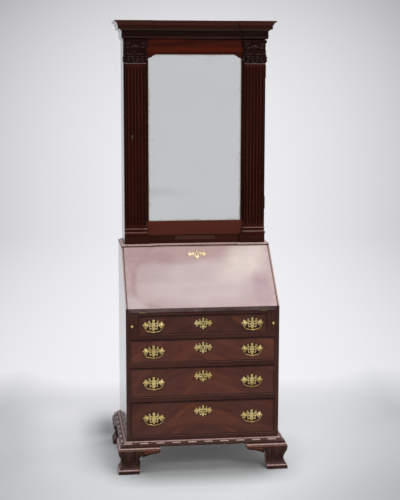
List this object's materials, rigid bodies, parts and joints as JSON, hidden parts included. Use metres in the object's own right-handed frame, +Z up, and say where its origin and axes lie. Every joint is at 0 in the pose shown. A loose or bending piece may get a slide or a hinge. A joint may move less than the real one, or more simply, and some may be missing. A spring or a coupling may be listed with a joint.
{
  "type": "secretary bookcase",
  "caption": "Tall mahogany secretary: a slant-front desk with drawers on bracket feet under a shallow bookcase with a mirrored door between pilasters.",
  "frame": {"origin": "on the floor, under the middle of the object's bounding box", "axes": "+Z up, the front faces -Y, +X to the right of someone who faces the front"},
  "size_m": [0.807, 0.576, 2.1145],
  "materials": {
    "case_mahogany": "polished dark red-brown mahogany",
    "upper_mahogany": "polished very dark mahogany",
    "drawer_mahogany": "polished red-brown mahogany",
    "inside_wood": "plain dry wood",
    "brass": "polished and lacquered",
    "mirror_glass": "silvered glass"
  },
  "bodies": {
    "case": {"base_moulding": "case_mahogany", "cornice": "upper_mahogany", "desk_back": "inside_wood", "desk_bottom": "case_mahogany", "desk_side_left": "case_mahogany", "desk_side_right": "case_mahogany", "desk_top": "case_mahogany", "door_hinge_lower": "brass", "door_hinge_upper": "brass", "drawer_rail_lower": "case_mahogany", "drawer_rail_upper": "case_mahogany", "fall_hinge_left": "brass", "fall_hinge_right": "brass", "foot_back_left": "case_mahogany", "foot_back_right": "case_mahogany", "foot_front_left": "case_mahogany", "foot_front_right": "case_mahogany", "loper_frame": "case_mahogany", "pigeonhole_case": "inside_wood", "shelf_lower": "inside_wood", "shelf_upper": "inside_wood", "upper_back": "inside_wood", "upper_base": "upper_mahogany", "upper_side_left": "upper_mahogany", "upper_side_right": "upper_mahogany", "upper_top": "inside_wood"},
    "fall": {"fall_front": "case_mahogany", "fall_escutcheon": "brass"},
    "door": {"door_frame": "upper_mahogany", "mirror": "mirror_glass", "mirror_backboard": "inside_wood", "pilaster_left": "upper_mahogany", "pilaster_right": "upper_mahogany"},
    "loper_left": {"loper_left": "case_mahogany"},
    "loper_right": {"loper_right": "case_mahogany"},
    "candle_slide": {"candle_slide": "upper_mahogany"},
    "drawer_1": {"drawer_1": "drawer_mahogany", "escutcheon_1": "brass", "handle_plate_1_left": "brass", "handle_plate_1_right": "brass"},
    "bail_1_left": {"bail_1_left": "brass"},
    "bail_1_right": {"bail_1_right": "brass"},
    "drawer_2": {"drawer_2": "drawer_mahogany", "escutcheon_2": "brass", "handle_plate_2_left": "brass", "handle_plate_2_right": "brass"},
    "bail_2_left": {"bail_2_left": "brass"},
    "bail_2_right": {"bail_2_right": "brass"},
    "drawer_3": {"drawer_3": "drawer_mahogany", "escutcheon_3": "brass", "handle_plate_3_left": "brass", "handle_plate_3_right": "brass"},
    "bail_3_left": {"bail_3_left": "brass"},
    "bail_3_right": {"bail_3_right": "brass"},
    "drawer_4": {"drawer_4": "drawer_mahogany", "escutcheon_4": "brass", "handle_plate_4_left": "brass", "handle_plate_4_right": "brass"},
    "bail_4_left": {"bail_4_left": "brass"},
    "bail_4_right": {"bail_4_right": "brass"}
  },
  "joints": [
    {"name": "drawer_1_slide", "type": "slide", "parent": "case", "child": "drawer_1", "axis": [0, -1, 0], "range_m": [0, 0.36]},
    {"name": "drawer_2_slide", "type": "slide", "parent": "case", "child": "drawer_2", "axis": [0, -1, 0], "range_m": [0, 0.36]},
    {"name": "drawer_3_slide", "type": "slide", "parent": "case", "child": "drawer_3", "axis": [0, -1, 0], "range_m": [0, 0.36]},
    {"name": "drawer_4_slide", "type": "slide", "parent": "case", "child": "drawer_4", "axis": [0, -1, 0], "range_m": [0, 0.36]},
    {"name": "bail_1_left_swing", "type": "hinge", "parent": "drawer_1", "child": "bail_1_left", "pos_m": [-0.23325, -0.2548, 0.70533], "axis": [-1, 0, 0], "range_deg": [0, 95]},
    {"name": "bail_1_right_swing", "type": "hinge", "parent": "drawer_1", "child": "bail_1_right", "pos_m": [0.23325, -0.2548, 0.70533], "axis": [-1, 0, 0], "range_deg": [0, 95]},
    {"name": "bail_2_left_swing", "type": "hinge", "parent": "drawer_2", "child": "bail_2_left", "pos_m": [-0.23325, -0.2548, 0.58165], "axis": [-1, 0, 0], "range_deg": [0, 95]},
    {"name": "bail_2_right_swing", "type": "hinge", "parent": "drawer_2", "child": "bail_2_right", "pos_m": [0.23325, -0.2548, 0.58165], "axis": [-1, 0, 0], "range_deg": [0, 95]},
    {"name": "bail_3_left_swing", "type": "hinge", "parent": "drawer_3", "child": "bail_3_left", "pos_m": [-0.23325, -0.2548, 0.43051], "axis": [-1, 0, 0], "range_deg": [0, 95]},
    {"name": "bail_3_right_swing", "type": "hinge", "parent": "drawer_3", "child": "bail_3_right", "pos_m": [0.23325, -0.2548, 0.43051], "axis": [-1, 0, 0], "range_deg": [0, 95]},
    {"name": "bail_4_left_swing", "type": "hinge", "parent": "drawer_4", "child": "bail_4_left", "pos_m": [-0.23325, -0.2548, 0.25824], "axis": [-1, 0, 0], "range_deg": [0, 95]},
    {"name": "bail_4_right_swing", "type": "hinge", "parent": "drawer_4", "child": "bail_4_right", "pos_m": [0.23325, -0.2548, 0.25824], "axis": [-1, 0, 0], "range_deg": [0, 95]},
    {"name": "loper_left_slide", "type": "slide", "parent": "case", "child": "loper_left", "axis": [0, -1, 0], "range_m": [0, 0.26]},
    {"name": "loper_right_slide", "type": "slide", "parent": "case", "child": "loper_right", "axis": [0, -1, 0], "range_m": [0, 0.26]},
    {"name": "fall_hinge", "type": "hinge", "parent": "case", "child": "fall", "pos_m": [0, -0.247, 0.76615], "axis": [1, 0, 0], "range_deg": [0, 139.22]},
    {"name": "door_hinge", "type": "hinge", "parent": "case", "child": "door", "pos_m": [0.3475, 0.101, 1.0855], "axis": [0, 0, 1], "range_deg": [0, 110]},
    {"name": "candle_slide_pull", "type": "slide", "parent": "case", "child": "candle_slide", "axis": [0, -1, 0], "range_m": [0, 0.11]}
  ]
}
